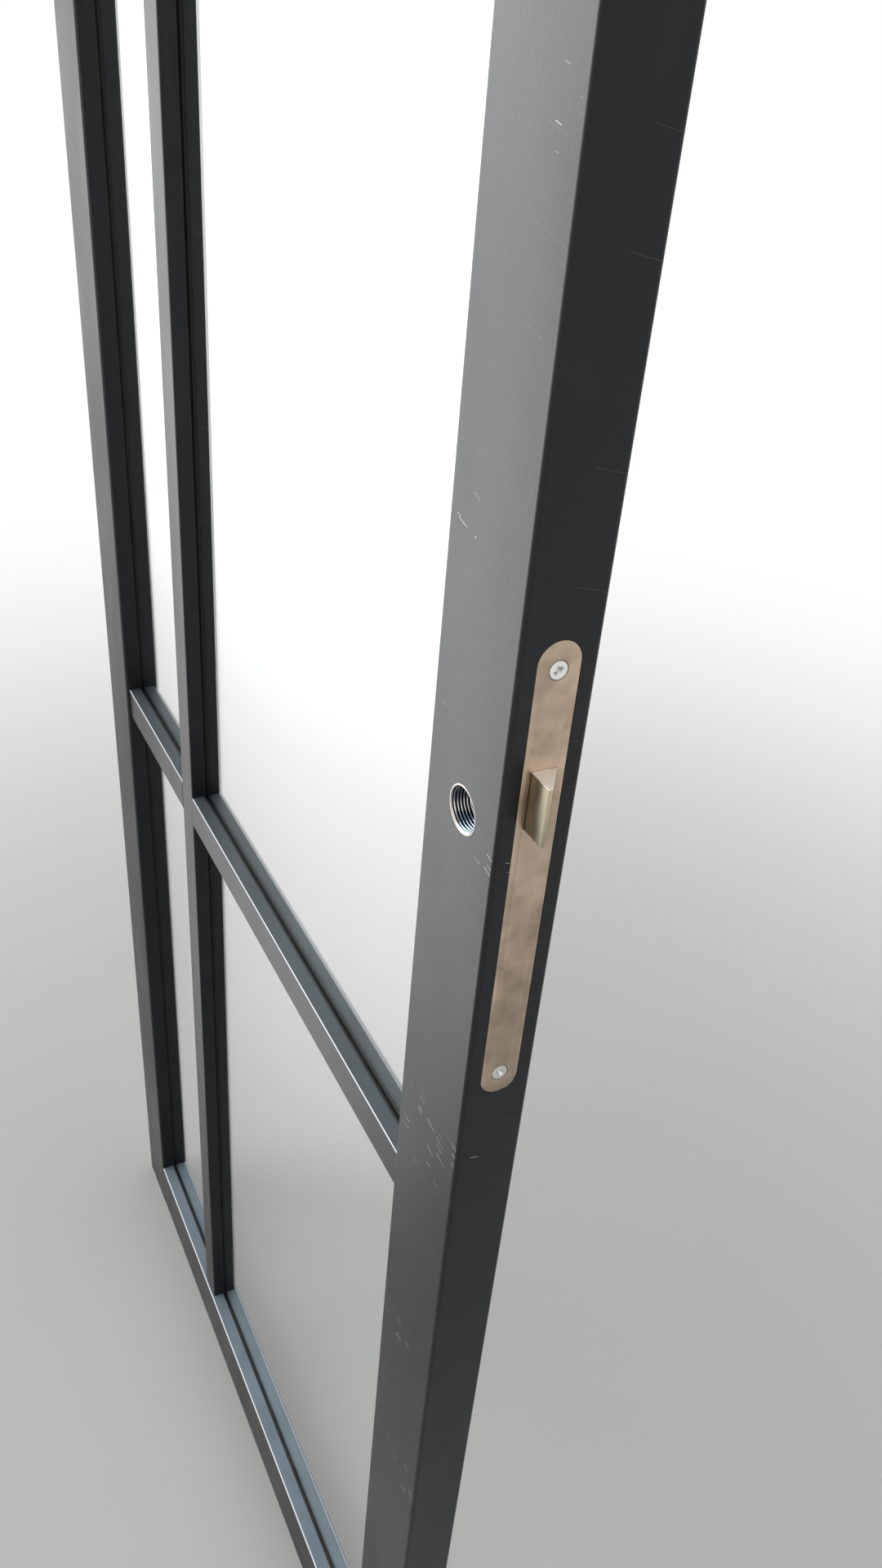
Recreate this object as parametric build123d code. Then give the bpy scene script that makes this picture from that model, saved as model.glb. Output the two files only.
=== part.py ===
from build123d import *
import math
import os

# Glazed door leaf with slim bars and a mortice latch. Millimetres, +Z up.
# Origin: middle of the leaf's underside. The lock edge is at +X, the front face at -Y.

# Leaf
leaf_width = 780.0
leaf_height = 2100.0
leaf_depth = 40.0
stile_face = 70.0
rail_face = 70.0
frame_arris = 2.5
frame_wall = 3.0
groove_wall = 2.0
groove_depth = 12.0

# Bars between the panes
bar_face = 30.0
bar_setback = 3.0
bar_arris = 1.5
bar_wall = 2.0
narrow_light_width = 180.0
lower_light_height = 707.0

# Glazing
glass_thickness = 8.0
glass_bite = 9.0
gasket_thickness = 2.0
gasket_height = 7.5
block_length = 60.0

# Corner spigots, pressed into the rails and screwed to the stiles
spigot_length = 50.0
spigot_wall = 5.0
spigot_play = 0.1
tongue_height = 40.0
spigot_screw_radius = 4.0
spigot_screw_grip = 6.0
hex_head_flats = 13.0
hex_head_height = 5.3

# Spigots that carry the bars
bar_spigot_length = 24.0
bar_tongue_length = 6.0
bar_tongue_width = 12.0
bar_tongue_thickness = 4.0

# Stile end caps
cap_plate = 2.0
cap_plug = 10.0
cap_plug_wall = 1.5

# Hinge fixing points
hinge_from_end = 220.0
hinge_plate_height = 100.0
hinge_plate_thickness = 5.0
hinge_hole_radius = 3.4
hinge_hole_spacing = 60.0

# Lock, measured from the lock edge and from the follower's axis
follower_height = 1098.0
backset = 33.0
faceplate_width = 22.0
faceplate_length = 268.0
faceplate_top = 101.5
faceplate_screw_inset = 14.0
faceplate_play = 0.2
plate_head_radius = 4.5
plate_screw_radius = 2.5
plate_screw_length = 12.0
anchor_thickness = 3.0
anchor_margin = 1.0

case_depth = 50.0
case_sheet = 1.5
case_inset = 34.0
case_post_radius = 3.0
case_post_inset = 8.0
cover_head_radius = 2.8
cover_head_height = 1.5
cover_screw_radius = 1.5
cover_screw_length = 8.0
cover_screw_end = 1.0

latch_thickness = 13.0
latch_height = 31.0
latch_rise = 22.5
latch_projection = 15.0
latch_left_out = 0.5
latch_tip = 2.0
latch_inner = 7.0
tail_thickness = 4.0
tail_height = 8.0
lug_length = 4.0
lug_drop = 6.5
slide_play = 0.1

latch_spring_thickness = 0.6
latch_spring_width = 8.0
latch_spring_foot = 6.0
latch_spring_bend = 3.0
latch_spring_crown = 6.0
latch_spring_headroom = 4.0
latch_spring_gap = 1.0
spring_arm_length = 3.0

boss_radius = 9.0
boss_play = 0.05
follower_disc_radius = 11.5
follower_thickness = 5.0
spindle_square = 8.1
lever_radius = 21.0
lever_tip_radius = 3.0
lever_width = 4.4
lever_gap = 0.25
lever_headroom = 1.0
stud_at = 15.0
stud_radius = 1.5
stud_gap = 0.4

return_spring_radius = 10.5
return_spring_thickness = 1.2
return_spring_width = 3.0
return_spring_leg = 20.0
spring_tab_at = 17.0
spring_tab_size = 4.0

bush_radius = 13.0
bush_bore_radius = 10.75
bush_gap = 0.2

screw_play = 0.05
touch = 0.05

# Worked out from the sizes above
half_width = leaf_width / 2
half_depth = leaf_depth / 2
groove_width = glass_thickness + 2 * gasket_thickness
bar_depth = leaf_depth - 2 * bar_setback
stile_inner = half_width - stile_face
rail_length = leaf_width - 2 * stile_face
upright_left = -stile_inner + narrow_light_width
upright_right = upright_left + bar_face
upright_x = (upright_left + upright_right) / 2
cross_bottom = rail_face + lower_light_height
cross_top = cross_bottom + bar_face
cross_z = (cross_bottom + cross_top) / 2
upper_sill = leaf_height - rail_face
block_height = groove_depth - glass_bite
gasket_recess = glass_bite - gasket_height
chamber_inner = groove_depth + groove_wall

faceplate_low = faceplate_top - faceplate_length
faceplate_middle = (faceplate_top + faceplate_low) / 2
case_inner = latch_thickness + 2 * slide_play
case_thickness = case_inner + 2 * case_sheet
case_top = faceplate_top - case_inset
case_low = faceplate_low + case_inset
case_back = frame_wall + case_depth
latch_travel = latch_projection - latch_left_out
lever_lean = math.degrees(math.asin(latch_travel / 2 / lever_radius))
follower_turn = 2 * lever_lean
tail_low = lever_radius + lever_tip_radius + lever_headroom
lug_front = backset - latch_travel / 2 + lever_tip_radius + lever_gap
latch_spring_low = latch_rise + latch_height / 2 + latch_spring_gap
latch_spring_knee = latch_spring_low + latch_spring_foot
latch_spring_top = case_top - case_sheet - latch_spring_headroom

pieces = {}


def at(depth, across, rise):
    """A place in the lock: depth in from the lock edge, across the leaf, rise above the follower."""
    return (half_width - depth, across, follower_height + rise)


def box(low, high):
    """A block between two opposite corners, given in any order."""
    size = [abs(b - a) for a, b in zip(low, high)]
    middle = [(a + b) / 2 for a, b in zip(low, high)]
    return Pos(*middle) * Box(*size)


def rod(start, direction, radius, length):
    """A round bar that starts at a point and runs along a direction."""
    return extrude(Plane(origin=start, z_dir=direction) * Circle(radius), amount=length)


def place(piece, origin, outward):
    """Set a piece made with +Z as its outward direction onto a face."""
    return Plane(origin=origin, z_dir=outward) * piece


def countersunk(head_radius, shank_radius, length, play=0.0):
    """A countersunk screw, or with play the hole that takes it, with its head face at z = 0."""
    head = head_radius + play
    shank = shank_radius + play
    cone = Pos(0, 0, (shank - head) / 2) * Cone(shank, head, head - shank)
    return cone + Pos(0, 0, -length / 2) * Cylinder(shank, length)


def cross_recess(screw, head_radius):
    """Cut a cross-shaped driver recess into a screw's head."""
    depth = head_radius / 3
    for size in ((head_radius, depth), (depth, head_radius)):
        screw -= Pos(0, 0, -depth / 2) * Box(*size, depth)
    return screw


# Profiles, seen from their ends
def frame_section(face):
    """Stile or rail: outer edge at x = 0, glazing groove open at x = face, hollow round it."""
    outline = Pos(face / 2, 0) * RectangleRounded(face, leaf_depth, frame_arris)
    hollow = Pos(face / 2, 0) * Rectangle(face - 2 * frame_wall, leaf_depth - 2 * frame_wall)
    channel_width = groove_width + 2 * groove_wall
    hollow -= Pos(face - chamber_inner / 2, 0) * Rectangle(chamber_inner, channel_width)
    groove = Pos(face - groove_depth / 2, 0) * Rectangle(groove_depth, groove_width)
    return outline - hollow - groove


def bar_section():
    """Glazing bar: a groove each side, a web between them, a hollow in front and behind."""
    section = RectangleRounded(bar_face, bar_depth, bar_arris)
    for side in (-1, 1):
        groove_x = side * (bar_face - groove_depth) / 2
        section -= Pos(groove_x, 0) * Rectangle(groove_depth, groove_width)
        section -= Pos(0, side * bar_hollow_y()) * Rectangle(*bar_hollow())
    return section


def bar_hollow():
    """Width and depth of each hollow in a bar."""
    depth = (bar_depth - groove_width) / 2 - groove_wall - bar_wall
    return (bar_face - 2 * bar_wall, depth)


def bar_hollow_y():
    """Middle of a bar's hollow, from the middle of the leaf."""
    return bar_depth / 2 - bar_wall - bar_hollow()[1] / 2


def member(section, start, inward, along, length):
    """A length of profile whose section's x axis points inward."""
    return extrude(Plane(origin=start, x_dir=inward, z_dir=along) * section, amount=length)


# Leaf frame
def spigot_z(top):
    """Middle height of a rail's main chamber, where its spigots sit."""
    middle = (frame_wall + rail_face - chamber_inner) / 2
    return leaf_height - middle if top else middle


def spigot_screw_places(side):
    """Points on the lock or hinge stile's inner face where the spigot screws go in."""
    return [(side * stile_inner, 0, spigot_z(top)) for top in (False, True)]


def bar_ends():
    """Every bar end: a point on the face it meets, and the way into the bar."""
    ends = [((upright_x, 0, rail_face), (0, 0, 1)), ((upright_x, 0, upper_sill), (0, 0, -1))]
    ends += [((-stile_inner, 0, cross_z), (1, 0, 0)), ((upright_left, 0, cross_z), (-1, 0, 0))]
    ends += [((upright_right, 0, cross_z), (1, 0, 0)), ((stile_inner, 0, cross_z), (-1, 0, 0))]
    return [((x, side * bar_hollow_y(), z), way) for (x, _, z), way in ends for side in (-1, 1)]


def bar_tongue(point, way, play=0.0):
    """The tongue that reaches out of a bar's end, or with play the slot that takes it."""
    section = Rectangle(bar_tongue_width + 2 * play, bar_tongue_thickness + 2 * play)
    across = (1, 0, 0) if way[2] else (0, 0, 1)
    end = Plane(origin=point, x_dir=across, z_dir=way)
    return extrude(end * section, amount=-bar_tongue_length)


def cut_tongue_slots(profile):
    """Cut the slots for the bar tongues that meet this profile."""
    for point, way in bar_ends():
        profile -= bar_tongue(point, way, screw_play)
    return profile


def stile(side):
    """Full-height stile, drilled for the spigot screws and slotted for the bars."""
    length = leaf_height - 2 * cap_plate
    start = (side * half_width, 0, cap_plate)
    profile = member(frame_section(stile_face), start, (-side, 0, 0), (0, 0, 1), length)
    for point in spigot_screw_places(side):
        profile -= rod(point, (side, 0, 0), spigot_screw_radius + screw_play, chamber_inner)
    return cut_tongue_slots(profile)


def rail(top):
    """Rail between the stiles, slotted for the upright bar."""
    z = leaf_height if top else 0
    inward = (0, 0, -1 if top else 1)
    profile = member(frame_section(rail_face), (-stile_inner, 0, z), inward, (1, 0, 0), rail_length)
    return cut_tongue_slots(profile)


def lock_stile():
    """Lock stile, cut for the faceplate and for the two handle bushes."""
    plate_hole = faceplate_outline(faceplate_play)
    profile = stile(1) - extrude(plate_hole, amount=-frame_wall)
    mouth = at(backset, -half_depth, 0)
    return profile - rod(mouth, (0, 1, 0), bush_radius + screw_play, leaf_depth)


def hinge_heights():
    """Heights of the three hinge fixing points."""
    top = leaf_height - hinge_from_end
    return {"upper": top, "middle": (top + hinge_from_end) / 2, "lower": hinge_from_end}


def hinge_holes(height):
    """The two screw holes of one hinge, through the stile's wall and the plate behind it."""
    row = GridLocations(0, hinge_hole_spacing, 1, 2)
    face = Plane(origin=(-half_width, 0, height), x_dir=(0, 1, 0), z_dir=(1, 0, 0))
    holes = Sketch() + [spot * Circle(hinge_hole_radius) for spot in row]
    return extrude(face * holes, amount=frame_wall + hinge_plate_thickness)


def hinge_stile():
    """Hinge stile, drilled for three hinges."""
    profile = stile(-1)
    for height in hinge_heights().values():
        profile -= hinge_holes(height)
    return profile


def hinge_plate(height):
    """Tapped plate inside the hinge stile, against its outer wall."""
    inner = -half_width + frame_wall
    reach = half_depth - frame_wall - anchor_margin
    low = (inner, -reach, height - hinge_plate_height / 2)
    high = (inner + hinge_plate_thickness, reach, height + hinge_plate_height / 2)
    return box(low, high) - hinge_holes(height)


def stile_cap(side, top):
    """Plastic cap on a stile's end, with a hollow plug in its main chamber."""
    plate = Pos(stile_face / 2, 0) * RectangleRounded(stile_face, leaf_depth, frame_arris)
    chamber = (stile_face - frame_wall - chamber_inner, leaf_depth - 2 * frame_wall)
    outer = [size - 2 * spigot_play for size in chamber]
    inner = [size - 2 * cap_plug_wall for size in outer]
    plug = Pos(frame_wall + chamber[0] / 2, 0) * (Rectangle(*outer) - Rectangle(*inner))
    solid = extrude(plate, amount=cap_plate) + extrude(plug, amount=cap_plate + cap_plug)
    z = leaf_height if top else 0
    inward = (0, 0, -1 if top else 1)
    return Plane(origin=(side * half_width, 0, z), x_dir=(-side, 0, 0), z_dir=inward) * solid


def corner_spigot(side, top):
    """Cast block in a rail's end, with a tongue in the stile's groove."""
    height = rail_face - frame_wall - chamber_inner - 2 * spigot_play
    width = leaf_depth - 2 * frame_wall - 2 * spigot_play
    z = spigot_z(top)
    inner = side * stile_inner
    body = box((inner, -width / 2, z - height / 2),
               (inner - side * spigot_length, width / 2, z + height / 2))
    pocket_width = width / 2 - spigot_wall
    pocket_height = height / 2 - spigot_wall
    body -= box((inner - side * spigot_wall, -pocket_width, z - pocket_height),
                (inner - side * spigot_length, pocket_width, z + pocket_height))
    tongue = groove_width / 2 - spigot_play
    body += box((inner, -tongue, z - tongue_height / 2),
                (inner + side * groove_depth, tongue, z + tongue_height / 2))
    start = (inner + side * groove_depth, 0, z)
    return body - rod(start, (-side, 0, 0), spigot_screw_radius + screw_play, groove_depth + spigot_wall)


def spigot_screws():
    """One hexagon screw at each corner, from the rail's spigot into the stile."""
    head = extrude(RegularPolygon(hex_head_flats / 2, 6, major_radius=False), amount=hex_head_height)
    length = spigot_wall + chamber_inner + spigot_screw_grip
    screw = head + rod((0, 0, 0), (0, 0, -1), spigot_screw_radius, length)
    return Compound([place(screw, (x - side * spigot_wall, y, z), (-side, 0, 0))
                     for side in (-1, 1) for x, y, z in spigot_screw_places(side)])


def bar_spigots():
    """Blocks in the bars' hollows, each with a tongue in the profile that the bar meets."""
    block = Rectangle(*(size - 2 * spigot_play for size in bar_hollow()))
    placed = []
    for point, way in bar_ends():
        across = (1, 0, 0) if way[2] else (0, 0, 1)
        end = Plane(origin=point, x_dir=across, z_dir=way)
        placed.append(extrude(end * block, amount=bar_spigot_length) + bar_tongue(point, way))
    return Compound(placed)


def upright_bar():
    """Upright bar from the bottom rail to the top rail."""
    start = (upright_x, 0, rail_face)
    profile = member(bar_section(), start, (1, 0, 0), (0, 0, 1), upper_sill - rail_face)
    return cut_tongue_slots(profile)


def cross_bar(left, right):
    """Level bar between two upright faces."""
    return member(bar_section(), (left, 0, cross_z), (0, 0, 1), (1, 0, 0), right - left)


# Glazing
def lights():
    """The four clear openings: low and high corner of each, in X and Z."""
    columns = {"narrow": (-stile_inner, upright_left), "wide": (upright_right, stile_inner)}
    rows = {"lower": (rail_face, cross_bottom), "upper": (cross_top, upper_sill)}
    return {f"{row}_{column}": (x[0], z[0], x[1], z[1])
            for row, z in rows.items() for column, x in columns.items()}


def pane(light):
    """One pane of glass, held all round in the grooves."""
    left, low, right, high = light
    half = glass_thickness / 2
    return box((left - glass_bite, -half, low - glass_bite),
               (right + glass_bite, half, high + glass_bite))


def gasket(light, side):
    """Moulded gasket frame between a pane's face and the lips of the grooves."""
    left, low, right, high = light
    inner = Pos((left + right) / 2, (low + high) / 2)
    width = right - left
    height = high - low
    ring = Rectangle(width + 2 * glass_bite, height + 2 * glass_bite)
    ring -= Rectangle(width + 2 * gasket_recess, height + 2 * gasket_recess)
    glass_face = Plane(origin=(0, side * glass_thickness / 2, 0), x_dir=(1, 0, 0), z_dir=(0, -1, 0))
    return extrude(glass_face * (inner * ring), amount=-side * gasket_thickness)


def setting_blocks():
    """Two blocks under each pane, a quarter of its width from its sides."""
    blocks = []
    half = glass_thickness / 2
    for left, low, right, _ in lights().values():
        for share in (0.25, 0.75):
            x = left + share * (right - left)
            top = low - glass_bite
            blocks.append(box((x - block_length / 2, -half, top - block_height),
                              (x + block_length / 2, half, top)))
    return Compound(blocks)


# Lock
def faceplate_outline(play=0.0):
    """The faceplate's round-ended outline, on the lock edge."""
    edge = Plane(origin=at(0, 0, faceplate_middle), x_dir=(0, 0, 1), z_dir=(1, 0, 0))
    return edge * SlotOverall(faceplate_length + 2 * play, faceplate_width + 2 * play)


def faceplate_screw_rises():
    """Heights of the two faceplate screws above the follower."""
    return (faceplate_top - faceplate_screw_inset, faceplate_low + faceplate_screw_inset)


def faceplate():
    """Round-ended plate, flush in the stile's wall, with the latch opening."""
    plate = extrude(faceplate_outline(), amount=-frame_wall)
    half_thick = latch_thickness / 2 + slide_play
    half_high = latch_height / 2 + slide_play
    plate -= box(at(0, -half_thick, latch_rise - half_high),
                 at(frame_wall, half_thick, latch_rise + half_high))
    hole = countersunk(plate_head_radius, plate_screw_radius, frame_wall, screw_play)
    for rise in faceplate_screw_rises():
        plate -= place(hole, at(0, 0, rise), (1, 0, 0))
    return plate


def faceplate_screws():
    """Countersunk screws that hold the two ends of the faceplate."""
    screw = countersunk(plate_head_radius, plate_screw_radius, plate_screw_length)
    screw = cross_recess(screw, plate_head_radius)
    return Compound([place(screw, at(0, 0, rise), (1, 0, 0)) for rise in faceplate_screw_rises()])


def anchor_plate(rise):
    """Tapped plate behind the stile's wall, for one faceplate screw."""
    reach = half_depth - frame_wall - anchor_margin
    half = case_inset - faceplate_screw_inset - 2 * anchor_margin
    plate = box(at(frame_wall, -reach, rise - half),
                at(frame_wall + anchor_thickness, reach, rise + half))
    return plate - rod(at(0, 0, rise), (-1, 0, 0), plate_screw_radius + screw_play, 2 * plate_screw_length)


def case_posts():
    """Depth and rise of the two posts that the cover screws go into, in opposite corners."""
    lower = (frame_wall + case_post_inset, case_low + case_post_inset)
    upper = (case_back - case_post_inset, case_top - case_post_inset)
    return [lower, upper]


def boss_hole():
    """The hole in the case for the follower's bearing boss."""
    start = at(backset, -case_thickness / 2, 0)
    return rod(start, (0, 1, 0), boss_radius + boss_play, case_thickness)


def lock_case():
    """Folded case, open towards the faceplate and the cover, with its posts and the spring's tab."""
    inner = case_inner / 2
    case = box(at(frame_wall, -inner, case_low), at(case_back, inner + case_sheet, case_top))
    case -= box(at(frame_wall, -inner, case_low + case_sheet),
                at(case_back - case_sheet, inner, case_top - case_sheet))
    hole_length = cover_screw_length - case_sheet + cover_screw_end
    for depth, rise in case_posts():
        case += rod(at(depth, -inner, rise), (0, 1, 0), case_post_radius, case_inner)
        case -= rod(at(depth, -inner, rise), (0, 1, 0), cover_screw_radius + screw_play, hole_length)
    tab_depth = backset - spring_tab_at
    tab_low = return_spring_thickness / 2 + touch - return_spring_radius
    case += box(at(tab_depth - spring_tab_size / 2, -inner, tab_low),
                at(tab_depth + spring_tab_size / 2, inner, tab_low + spring_tab_size))
    return case - boss_hole()


def lock_cover():
    """Flat cover of the case, drilled for its screws."""
    inner = case_inner / 2
    cover = box(at(frame_wall, -inner - case_sheet, case_low), at(case_back, -inner, case_top))
    for depth, rise in case_posts():
        cover -= rod(at(depth, -inner, rise), (0, -1, 0), cover_screw_radius + screw_play, case_sheet)
    return cover - boss_hole()


def cover_screws():
    """Two cheese-head screws through the cover into the posts."""
    screw = rod((0, 0, 0), (0, 0, 1), cover_head_radius, cover_head_height)
    screw += rod((0, 0, 0), (0, 0, -1), cover_screw_radius, cover_screw_length)
    across = -case_thickness / 2
    return Compound([place(screw, at(depth, across, rise), (0, -1, 0)) for depth, rise in case_posts()])


def latch_bolt():
    """Bevelled latch head with a tail: a lug for the follower and an arm for the spring."""
    half = latch_thickness / 2
    low = latch_rise - latch_height / 2
    bevel_end = latch_tip - latch_projection + latch_thickness
    outline = [(-latch_projection, -half), (-latch_projection, latch_tip - half),
               (min(bevel_end, -latch_left_out), half), (latch_inner, half), (latch_inner, -half)]
    corners = [at(depth, across, low) for depth, across in outline]
    head = extrude(make_face(Polyline(*corners, close=True)), amount=latch_height, dir=(0, 0, 1))
    tail = tail_thickness / 2
    lug_back = lug_front + lug_length
    head += box(at(latch_inner, -tail, tail_low), at(lug_back, tail, tail_low + tail_height))
    head += box(at(lug_front, -tail, tail_low - lug_drop), at(lug_back, tail, tail_low))
    arm = latch_spring_width / 2
    head += box(at(latch_inner - spring_arm_length, -arm, latch_rise),
                at(latch_inner, arm, latch_spring_knee))
    return head


def latch_spring():
    """Bent strip spring: one foot on the latch's arm, the other on the back of the case."""
    clear = latch_spring_thickness / 2 + touch
    front = latch_inner + clear
    back = case_back - case_sheet - clear
    corners = [(front, latch_spring_low), (front, latch_spring_knee),
               ((front + back) / 2, latch_spring_top), (back, latch_spring_knee), (back, latch_spring_low)]
    path = FilletPolyline(*corners, radius=(latch_spring_bend, latch_spring_crown, latch_spring_bend))
    edge = Plane(origin=at(0, 0, 0), x_dir=(-1, 0, 0), z_dir=(0, 1, 0))
    strip = edge * trace(path, latch_spring_thickness)
    return extrude(strip, amount=latch_spring_width / 2, both=True)


def lever_point(radius):
    """A point on the follower's lever at rest: X and Z from the follower's axis."""
    lean = math.radians(lever_lean)
    return (radius * math.sin(lean), radius * math.cos(lean))


def follower():
    """Follower with its square hole, bearing boss and the lever that draws the latch."""
    axis = Plane(origin=at(backset, 0, 0), x_dir=(1, 0, 0), z_dir=(0, -1, 0))
    lever = Pos(lever_radius / 2, 0) * Rectangle(lever_radius, lever_width)
    lever += Pos(lever_radius, 0) * Circle(lever_tip_radius)
    disc = Circle(follower_disc_radius) + Rot(0, 0, 90 - lever_lean) * lever
    solid = extrude(axis * disc, amount=follower_thickness / 2, both=True)
    solid += extrude(axis * Circle(boss_radius), amount=case_thickness / 2, both=True)
    stud_length = case_inner / 2 - stud_gap
    stud = axis * (Pos(*lever_point(stud_at)) * Circle(stud_radius))
    solid += extrude(stud, amount=-stud_length)
    square = axis * Rectangle(spindle_square, spindle_square)
    return solid - extrude(square, amount=case_thickness, both=True)


def follower_spring():
    """Strip spring half round the follower: one leg under the tab, the other on the lever's stud."""
    side = (follower_thickness + case_inner) / 4
    reach = return_spring_radius - stud_radius - return_spring_thickness / 2 - touch
    stud_angle = 90 - lever_lean
    leaves = stud_angle + math.degrees(math.acos(reach / stud_at))
    arc = CenterArc((0, 0), return_spring_radius, leaves, 270 - leaves)
    free_leg = math.sqrt(stud_at ** 2 - reach ** 2) + 2 * stud_radius
    turn = math.radians(leaves)
    first = arc @ 0
    tip = (first.X + free_leg * math.sin(turn), first.Y - free_leg * math.cos(turn))
    path = Wire([Edge.make_line(tip, first), *arc.edges(),
                 Edge.make_line(arc @ 1, (return_spring_leg, -return_spring_radius))])
    plane = Plane(origin=at(backset, side, 0), x_dir=(1, 0, 0), z_dir=(0, -1, 0))
    strip = plane * trace(path.edges(), return_spring_thickness)
    return extrude(strip, amount=return_spring_width / 2, both=True)


def bush(side):
    """Bush for the handle's threaded neck, from the leaf's face to the lock case."""
    mouth = at(backset, side * half_depth, 0)
    inward = (0, -side, 0)
    length = half_depth - case_thickness / 2 - bush_gap
    return rod(mouth, inward, bush_radius, length) - rod(mouth, inward, bush_bore_radius, length)


# Every piece by its name
pieces["lock_stile"] = lock_stile()
pieces["hinge_stile"] = hinge_stile()
pieces["top_rail"] = rail(True)
pieces["bottom_rail"] = rail(False)
pieces["upright_bar"] = upright_bar()
pieces["cross_bar_narrow"] = cross_bar(-stile_inner, upright_left)
pieces["cross_bar_wide"] = cross_bar(upright_right, stile_inner)
pieces["bar_spigots"] = bar_spigots()
for edge, side in (("lock", 1), ("hinge", -1)):
    for end, top in (("top", True), ("bottom", False)):
        pieces[f"corner_spigot_{end}_{edge}"] = corner_spigot(side, top)
        pieces[f"stile_cap_{end}_{edge}"] = stile_cap(side, top)
pieces["spigot_screws"] = spigot_screws()
for name, height in hinge_heights().items():
    pieces[f"hinge_plate_{name}"] = hinge_plate(height)
for name, light in lights().items():
    pieces[f"pane_{name}"] = pane(light)
    pieces[f"gasket_front_{name}"] = gasket(light, -1)
    pieces[f"gasket_back_{name}"] = gasket(light, 1)
pieces["setting_blocks"] = setting_blocks()
pieces["faceplate"] = faceplate()
pieces["faceplate_screws"] = faceplate_screws()
for name, rise in zip(("upper", "lower"), faceplate_screw_rises()):
    pieces[f"anchor_plate_{name}"] = anchor_plate(rise)
pieces["lock_case"] = lock_case()
pieces["lock_cover"] = lock_cover()
pieces["cover_screws"] = cover_screws()
pieces["latch_bolt"] = latch_bolt()
pieces["latch_spring"] = latch_spring()
pieces["follower"] = follower()
pieces["follower_spring"] = follower_spring()
pieces["bush_front"] = bush(-1)
pieces["bush_back"] = bush(1)

os.makedirs("parts", exist_ok=True)
for name, piece in pieces.items():
    export_step(piece, f"parts/{name}.step")
print(len(pieces), "pieces; follower turns", round(follower_turn, 3), "degrees; latch travels", latch_travel)
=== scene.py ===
import math

import bmesh
import bpy
from mathutils import Matrix, Vector

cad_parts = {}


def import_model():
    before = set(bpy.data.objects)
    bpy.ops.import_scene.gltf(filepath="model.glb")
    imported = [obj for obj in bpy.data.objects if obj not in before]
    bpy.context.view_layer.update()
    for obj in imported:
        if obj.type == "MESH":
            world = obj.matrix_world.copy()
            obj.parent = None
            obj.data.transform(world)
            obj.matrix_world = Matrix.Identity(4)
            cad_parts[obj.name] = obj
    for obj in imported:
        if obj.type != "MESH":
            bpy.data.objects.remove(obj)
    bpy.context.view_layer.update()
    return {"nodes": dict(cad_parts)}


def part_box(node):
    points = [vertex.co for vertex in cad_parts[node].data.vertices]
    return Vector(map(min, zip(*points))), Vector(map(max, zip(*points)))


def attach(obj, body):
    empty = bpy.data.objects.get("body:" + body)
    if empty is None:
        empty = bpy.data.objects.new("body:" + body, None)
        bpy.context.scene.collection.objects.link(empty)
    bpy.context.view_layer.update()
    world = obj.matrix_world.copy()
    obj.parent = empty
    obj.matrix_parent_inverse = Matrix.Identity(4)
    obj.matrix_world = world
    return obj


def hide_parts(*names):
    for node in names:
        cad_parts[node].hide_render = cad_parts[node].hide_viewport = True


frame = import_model()

# Looks of a glazed door leaf: metres, in the leaf's own frame. The front face is at -Y, the lock edge at +X.
nodes = frame["nodes"]

# Threaded bushes
thread_pitch = 0.00175
thread_depth = 0.0009
thread_rows_per_turn = 12
bush_segments = 96
bush_mouth_chamfer = 0.0004
bush_rim_round = 0.00025
bush_back_round = 0.0001
bush_wall = 0.00225

# Faceplate screws
recess_reach = 0.0027
recess_arm = 0.0011
recess_floor_share = 0.45
recess_depth = 0.0022
recess_overshoot = 0.0005
recess_turn = math.radians(35)
screw_thread_pitch = 0.0008
screw_thread_depth = 0.0004
screw_segments = 64
screw_rows_per_turn = 6
screw_head_round = 0.00025
shank_radius = 0.0025
screw_tip_length = 0.0012
screw_tip_slope = 0.6

# Softened edges
plate_edge = 0.00035
latch_edge = 0.00028
edge_segments = 3
edge_angle = math.radians(30)
flat_angle = math.radians(1)
weld_distance = 0.000002

# A pale bluish tone on faces that look up, partly dusty film and partly a painted sky reflection: the
# heights that it thins out between, and the way that the painted highlight line on front top edges faces
lighter_up_to = 0.1
darker_from = 0.7
painted_highlight_facing = (0, -math.cos(math.radians(50)), math.sin(math.radians(50)))

# Marks in the powder coat, as the photograph shows them: place and radius
scratched_places = [
    ((0.352, -0.020, 0.862), 0.036),
    ((0.367, -0.020, 0.517), 0.030),
    ((0.345, -0.020, 0.660), 0.018),
    ((0.339, -0.020, 1.234), 0.016),
    ((0.369, -0.020, 1.390), 0.018),
    ((0.322, -0.020, 1.136), 0.014),
    ((0.384, -0.020, 1.085), 0.014),
    ((0.390, -0.018, 0.885), 0.016),
]
scratch_slope = math.tan(math.radians(14))
# Width of the painted shade ring around each faceplate screw head
screw_gap_shade = 0.0008

# Camera
camera_place = Vector((0.76941, -0.26959, 1.42582))
camera_heading = math.radians(63.633)
camera_down = math.radians(34.195)
camera_roll = math.radians(3.279)
camera_lens = 28.22
camera_shift = (0.0409, 0.0118)

# Light
floor_size = 120.0
floor_near = 0.3
floor_far = 3.2
warm_white = (1.0, 0.98, 0.95)
cool_white = (0.98, 0.99, 1.0)


def link_object(name, mesh):
    """Add a mesh to the scene as a new object."""
    piece = bpy.data.objects.new(name, mesh)
    bpy.context.scene.collection.objects.link(piece)
    return piece


def finish_piece(piece, body, replaced, material):
    """Give a new piece its material and its body, and hide the node that it stands for."""
    piece.data.materials.clear()
    piece.data.materials.append(material)
    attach(piece, body)
    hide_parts(replaced)


# Shader helpers
def add(tree, kind, inputs=None, **settings):
    """Add a node, set its options, and set or link its inputs."""
    node = tree.nodes.new(kind)
    for option, value in settings.items():
        setattr(node, option, value)
    for socket, value in (inputs or {}).items():
        if isinstance(value, bpy.types.NodeSocket):
            tree.links.new(value, node.inputs[socket])
        else:
            node.inputs[socket].default_value = value
    return node


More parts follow.
